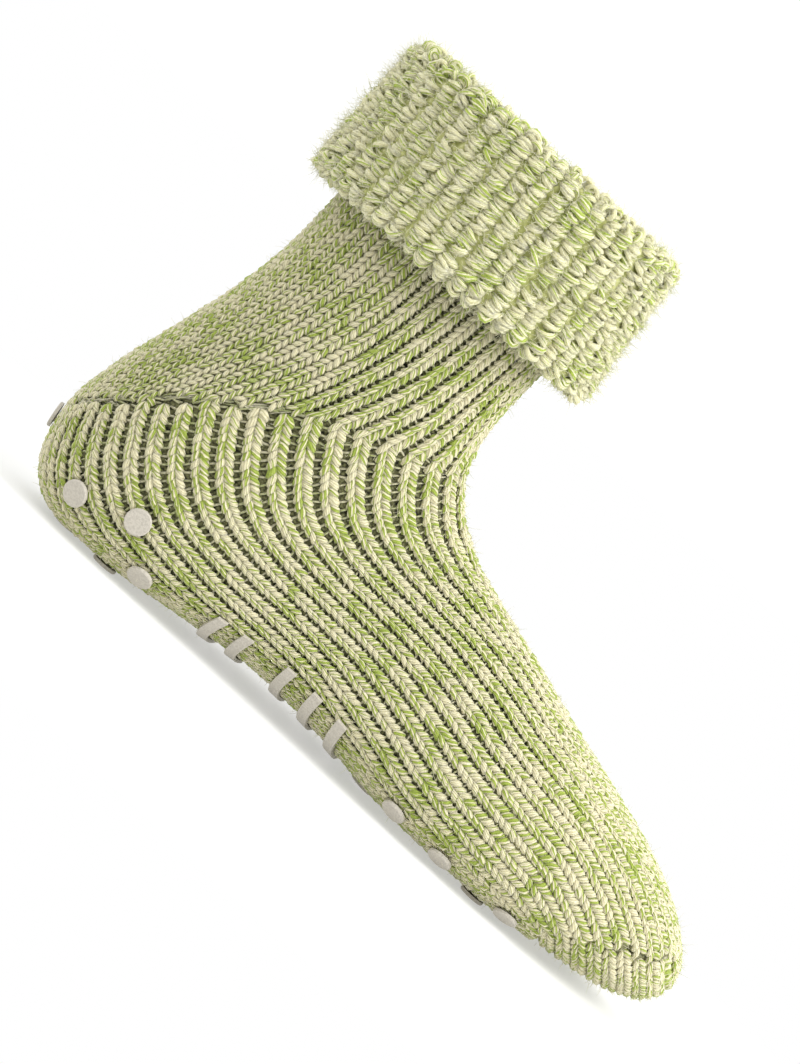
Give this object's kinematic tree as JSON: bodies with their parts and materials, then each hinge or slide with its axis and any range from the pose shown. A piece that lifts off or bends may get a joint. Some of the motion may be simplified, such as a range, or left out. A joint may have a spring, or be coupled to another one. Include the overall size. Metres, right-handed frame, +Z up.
{
  "type": "slipper sock",
  "caption": "Chunky knitted slipper sock with a turned-down terry cuff, ribbed leg and foot, and moulded grip print under the sole; stands empty on its sole.",
  "frame": {"origin": "on the floor under the middle of the sock's length, in its plane of symmetry", "axes": "+X from heel to toe, +Z up out of the leg, +Y to one side"},
  "size_m": [0.2534, 0.0938, 0.1788],
  "materials": {
    "face_yarn": "marled cream and green wool yarn, rib knit, matte and slightly hairy",
    "terry_yarn": "the same yarn knitted as thick terry loops, matte and soft",
    "grip_rubber": "pale grey-beige silicone print, satin"
  },
  "bodies": {
    "root": {"knitted_tube": "face_yarn", "turned_cuff": "terry_yarn", "grip_chevron_1": "grip_rubber", "grip_chevron_2": "grip_rubber", "grip_chevron_3": "grip_rubber", "grip_chevron_4": "grip_rubber", "grip_chevron_5": "grip_rubber", "grip_dot_01": "grip_rubber", "grip_dot_02": "grip_rubber", "grip_dot_03": "grip_rubber", "grip_dot_04": "grip_rubber", "grip_dot_05": "grip_rubber", "grip_dot_06": "grip_rubber", "grip_dot_07": "grip_rubber", "grip_dot_08": "grip_rubber", "grip_dot_09": "grip_rubber", "grip_dot_10": "grip_rubber", "grip_dot_11": "grip_rubber", "grip_dot_12": "grip_rubber", "grip_dot_13": "grip_rubber", "grip_dot_14": "grip_rubber", "grip_dot_15": "grip_rubber", "grip_dot_16": "grip_rubber", "grip_dot_17": "grip_rubber", "grip_dot_18": "grip_rubber", "grip_dot_19": "grip_rubber", "grip_dot_20": "grip_rubber", "grip_dot_21": "grip_rubber"}
  },
  "joints": []
}
